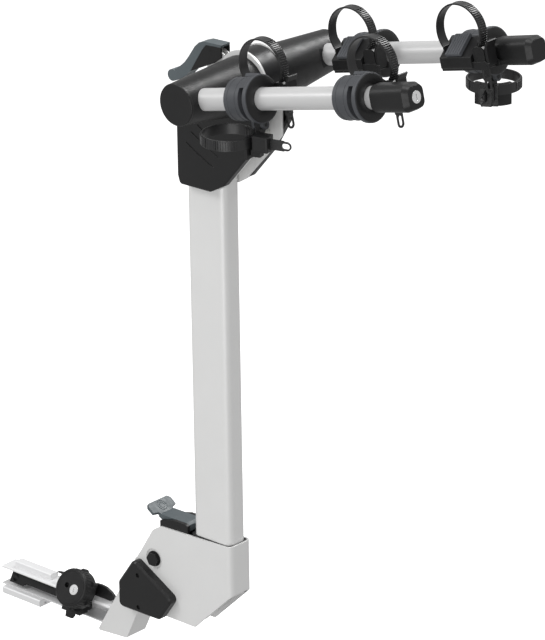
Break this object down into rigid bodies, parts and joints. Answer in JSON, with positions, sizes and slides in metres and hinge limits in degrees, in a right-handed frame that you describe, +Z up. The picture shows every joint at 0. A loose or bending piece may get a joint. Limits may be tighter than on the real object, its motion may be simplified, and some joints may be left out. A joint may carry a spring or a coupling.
{
  "type": "hitch mounted bike rack",
  "caption": "Two-arm hanging bike rack on a tilting mast, with strap cradles, anti-sway cages, folding arms and a locking receiver shank.",
  "frame": {"origin": "where the hitch pin's axis crosses the shank's centre line", "axes": "+X out of the receiver, away from the vehicle; +Z up; -Y the side with the locking knob"},
  "size_m": [0.9426, 0.3975, 1.097],
  "materials": {
    "silver_paint": "satin powder coat",
    "arm_silver": "satin",
    "bare_alloy": "satin",
    "black_plastic": "fine grain",
    "black_metal": "satin black",
    "grey_plastic": "fine grain",
    "lever_grey": "satin",
    "soft_grey": "soft ribbed",
    "strap_black": "moulded",
    "lock_steel": "polished",
    "zinc": "plated"
  },
  "bodies": {
    "shank": {"shank_channel": "bare_alloy", "adapter_rails": "bare_alloy", "adapter_screws": "zinc", "shank_bracket": "silver_paint", "pivot_bushes": "zinc", "keeper_pin": "zinc", "latch_pivot_pin": "zinc", "knob_housing": "black_plastic"},
    "latch": {"latch_arm": "black_metal", "hitch_pin": "zinc"},
    "knob": {"locking_knob": "black_plastic"},
    "knob_core": {"knob_lock_core": "lock_steel"},
    "mast": {"base_housing": "silver_paint", "mast_sleeve": "black_plastic", "mast_tube": "silver_paint", "base_bolts": "black_metal", "bolt_nuts": "zinc", "pivot_covers": "black_plastic", "cover_screws": "zinc", "tilt_lever_carrier": "black_plastic", "lever_pins": "zinc", "head_plates": "silver_paint", "head_bolts": "zinc", "head_spacer": "zinc", "head_shield_near": "black_plastic", "head_shield_far": "black_plastic", "release_bracket": "silver_paint"},
    "tilt_pawl": {"tilt_latch": "black_metal"},
    "tilt_handle": {"tilt_lever": "lever_grey"},
    "release": {"release_lever": "lever_grey", "release_cheeks": "black_plastic", "release_hook": "zinc"},
    "arms": {"crossbar_tube": "zinc", "index_drum": "black_metal", "crossbar_shell_near": "black_plastic", "crossbar_shell_far": "black_plastic", "crossbar_caps": "black_plastic", "arm_tubes": "arm_silver", "arm_caps": "black_plastic"},
    "arm_core": {"arm_lock_core": "lock_steel"},
    "cradle_near_inner": {"cradle_body_near_inner": "grey_plastic", "cradle_pad_near_inner": "soft_grey", "cradle_strap_near_inner": "strap_black"},
    "paddle_near_inner": {"buckle_paddle_near_inner": "black_plastic"},
    "cradle_near_outer": {"cradle_body_near_outer": "grey_plastic", "cradle_pad_near_outer": "soft_grey", "cradle_strap_near_outer": "strap_black"},
    "paddle_near_outer": {"buckle_paddle_near_outer": "black_plastic"},
    "cradle_far_inner": {"cradle_body_far_inner": "grey_plastic", "cradle_pad_far_inner": "soft_grey", "cradle_strap_far_inner": "strap_black"},
    "paddle_far_inner": {"buckle_paddle_far_inner": "black_plastic"},
    "cradle_far_outer": {"cradle_body_far_outer": "grey_plastic", "cradle_pad_far_outer": "soft_grey", "cradle_strap_far_outer": "strap_black"},
    "paddle_far_outer": {"buckle_paddle_far_outer": "black_plastic"},
    "cage_near_inner": {"cage_body_near_inner": "black_plastic", "cage_strap_near_inner": "strap_black"},
    "cage_far_outer": {"cage_body_far_outer": "black_plastic", "cage_strap_far_outer": "strap_black"}
  },
  "joints": [
    {"name": "mast_tilt", "type": "hinge", "parent": "shank", "child": "mast", "pos_m": [0.2895, 0, 0.074], "axis": [0, 1, 0], "range_deg": [0, 65]},
    {"name": "latch_swing", "type": "hinge", "parent": "shank", "child": "latch", "pos_m": [0.115, -0.008, 0], "axis": [0, 0, 1], "range_deg": [0, 6], "stiffness_Nm_per_rad": 8, "springref_deg": -17.19},
    {"name": "knob_turn", "type": "hinge", "parent": "shank", "child": "knob", "pos_m": [0.148, -0.018, 0.0269], "axis": [0, -0.866, 0.5], "continuous": true},
    {"name": "knob_core_turn", "type": "hinge", "parent": "knob", "child": "knob_core", "pos_m": [0.1562, -0.01875, 0.0256], "axis": [0, -0.866, 0.5], "range_deg": [0, 90]},
    {"name": "tilt_lever_press", "type": "hinge", "parent": "mast", "child": "tilt_handle", "pos_m": [0.364, 0, 0.195], "axis": [0, -1, 0], "range_deg": [0, 12], "stiffness_Nm_per_rad": 2, "springref_deg": -14.32},
    {"name": "tilt_latch_lift", "type": "hinge", "parent": "mast", "child": "tilt_pawl", "pos_m": [0.311, 0, 0.131], "axis": [0, 1, 0], "range_deg": [0, 16]},
    {"name": "release_lift", "type": "hinge", "parent": "mast", "child": "release", "pos_m": [0.4347, 0, 0.9492], "axis": [0, 1, 0], "range_deg": [0, 14], "stiffness_Nm_per_rad": 3, "springref_deg": -17.19},
    {"name": "arm_fold", "type": "hinge", "parent": "mast", "child": "arms", "pos_m": [0.5057, 0, 0.9236], "axis": [0, 1, 0], "range_deg": [0, 103]},
    {"name": "arm_core_turn", "type": "hinge", "parent": "arms", "child": "arm_core", "pos_m": [0.90441, -0.1285, 1.01477], "axis": [0.9748, 0, 0.2229], "range_deg": [0, 90]},
    {"name": "cradle_near_inner_turn", "type": "hinge", "parent": "arms", "child": "cradle_near_inner", "pos_m": [0.59539, -0.1285, 0.94411], "axis": [0.9748, 0, 0.2229], "range_deg": [-20, 20]},
    {"name": "paddle_near_inner_lift", "type": "hinge", "parent": "cradle_near_inner", "child": "paddle_near_inner", "pos_m": [0.66477, -0.1285, 0.95023], "axis": [0, 1, 0], "range_deg": [0, 35], "stiffness_Nm_per_rad": 0.05, "springref_deg": -17.19},
    {"name": "cradle_near_outer_turn", "type": "hinge", "parent": "arms", "child": "cradle_near_outer", "pos_m": [0.7923, -0.1285, 0.98914], "axis": [0.9748, 0, 0.2229], "range_deg": [-20, 20]},
    {"name": "paddle_near_outer_lift", "type": "hinge", "parent": "cradle_near_outer", "child": "paddle_near_outer", "pos_m": [0.86168, -0.1285, 0.99526], "axis": [0, 1, 0], "range_deg": [0, 35], "stiffness_Nm_per_rad": 0.05, "springref_deg": -17.19},
    {"name": "cradle_far_inner_turn", "type": "hinge", "parent": "arms", "child": "cradle_far_inner", "pos_m": [0.59539, 0.1285, 0.94411], "axis": [0.9748, 0, 0.2229], "range_deg": [-20, 20]},
    {"name": "paddle_far_inner_lift", "type": "hinge", "parent": "cradle_far_inner", "child": "paddle_far_inner", "pos_m": [0.66477, 0.1285, 0.95023], "axis": [0, 1, 0], "range_deg": [0, 35], "stiffness_Nm_per_rad": 0.05, "springref_deg": -17.19},
    {"name": "cradle_far_outer_turn", "type": "hinge", "parent": "arms", "child": "cradle_far_outer", "pos_m": [0.7923, 0.1285, 0.98914], "axis": [0.9748, 0, 0.2229], "range_deg": [-20, 20]},
    {"name": "paddle_far_outer_lift", "type": "hinge", "parent": "cradle_far_outer", "child": "paddle_far_outer", "pos_m": [0.86168, 0.1285, 0.99526], "axis": [0, 1, 0], "range_deg": [0, 35], "stiffness_Nm_per_rad": 0.05, "springref_deg": -17.19},
    {"name": "cage_near_inner_swing", "type": "hinge", "parent": "cradle_near_inner", "child": "cage_near_inner", "pos_m": [0.63616, -0.1285, 0.9165], "axis": [0.9748, 0, 0.2229], "range_deg": [-10, 10]},
    {"name": "cage_far_outer_swing", "type": "hinge", "parent": "cradle_far_outer", "child": "cage_far_outer", "pos_m": [0.83308, 0.1285, 0.96153], "axis": [0.9748, 0, 0.2229], "range_deg": [-10, 10]}
  ],
  "couplings": [
    {"joint": "tilt_latch_lift", "follows": "tilt_lever_press", "ratio": 1.3}
  ]
}
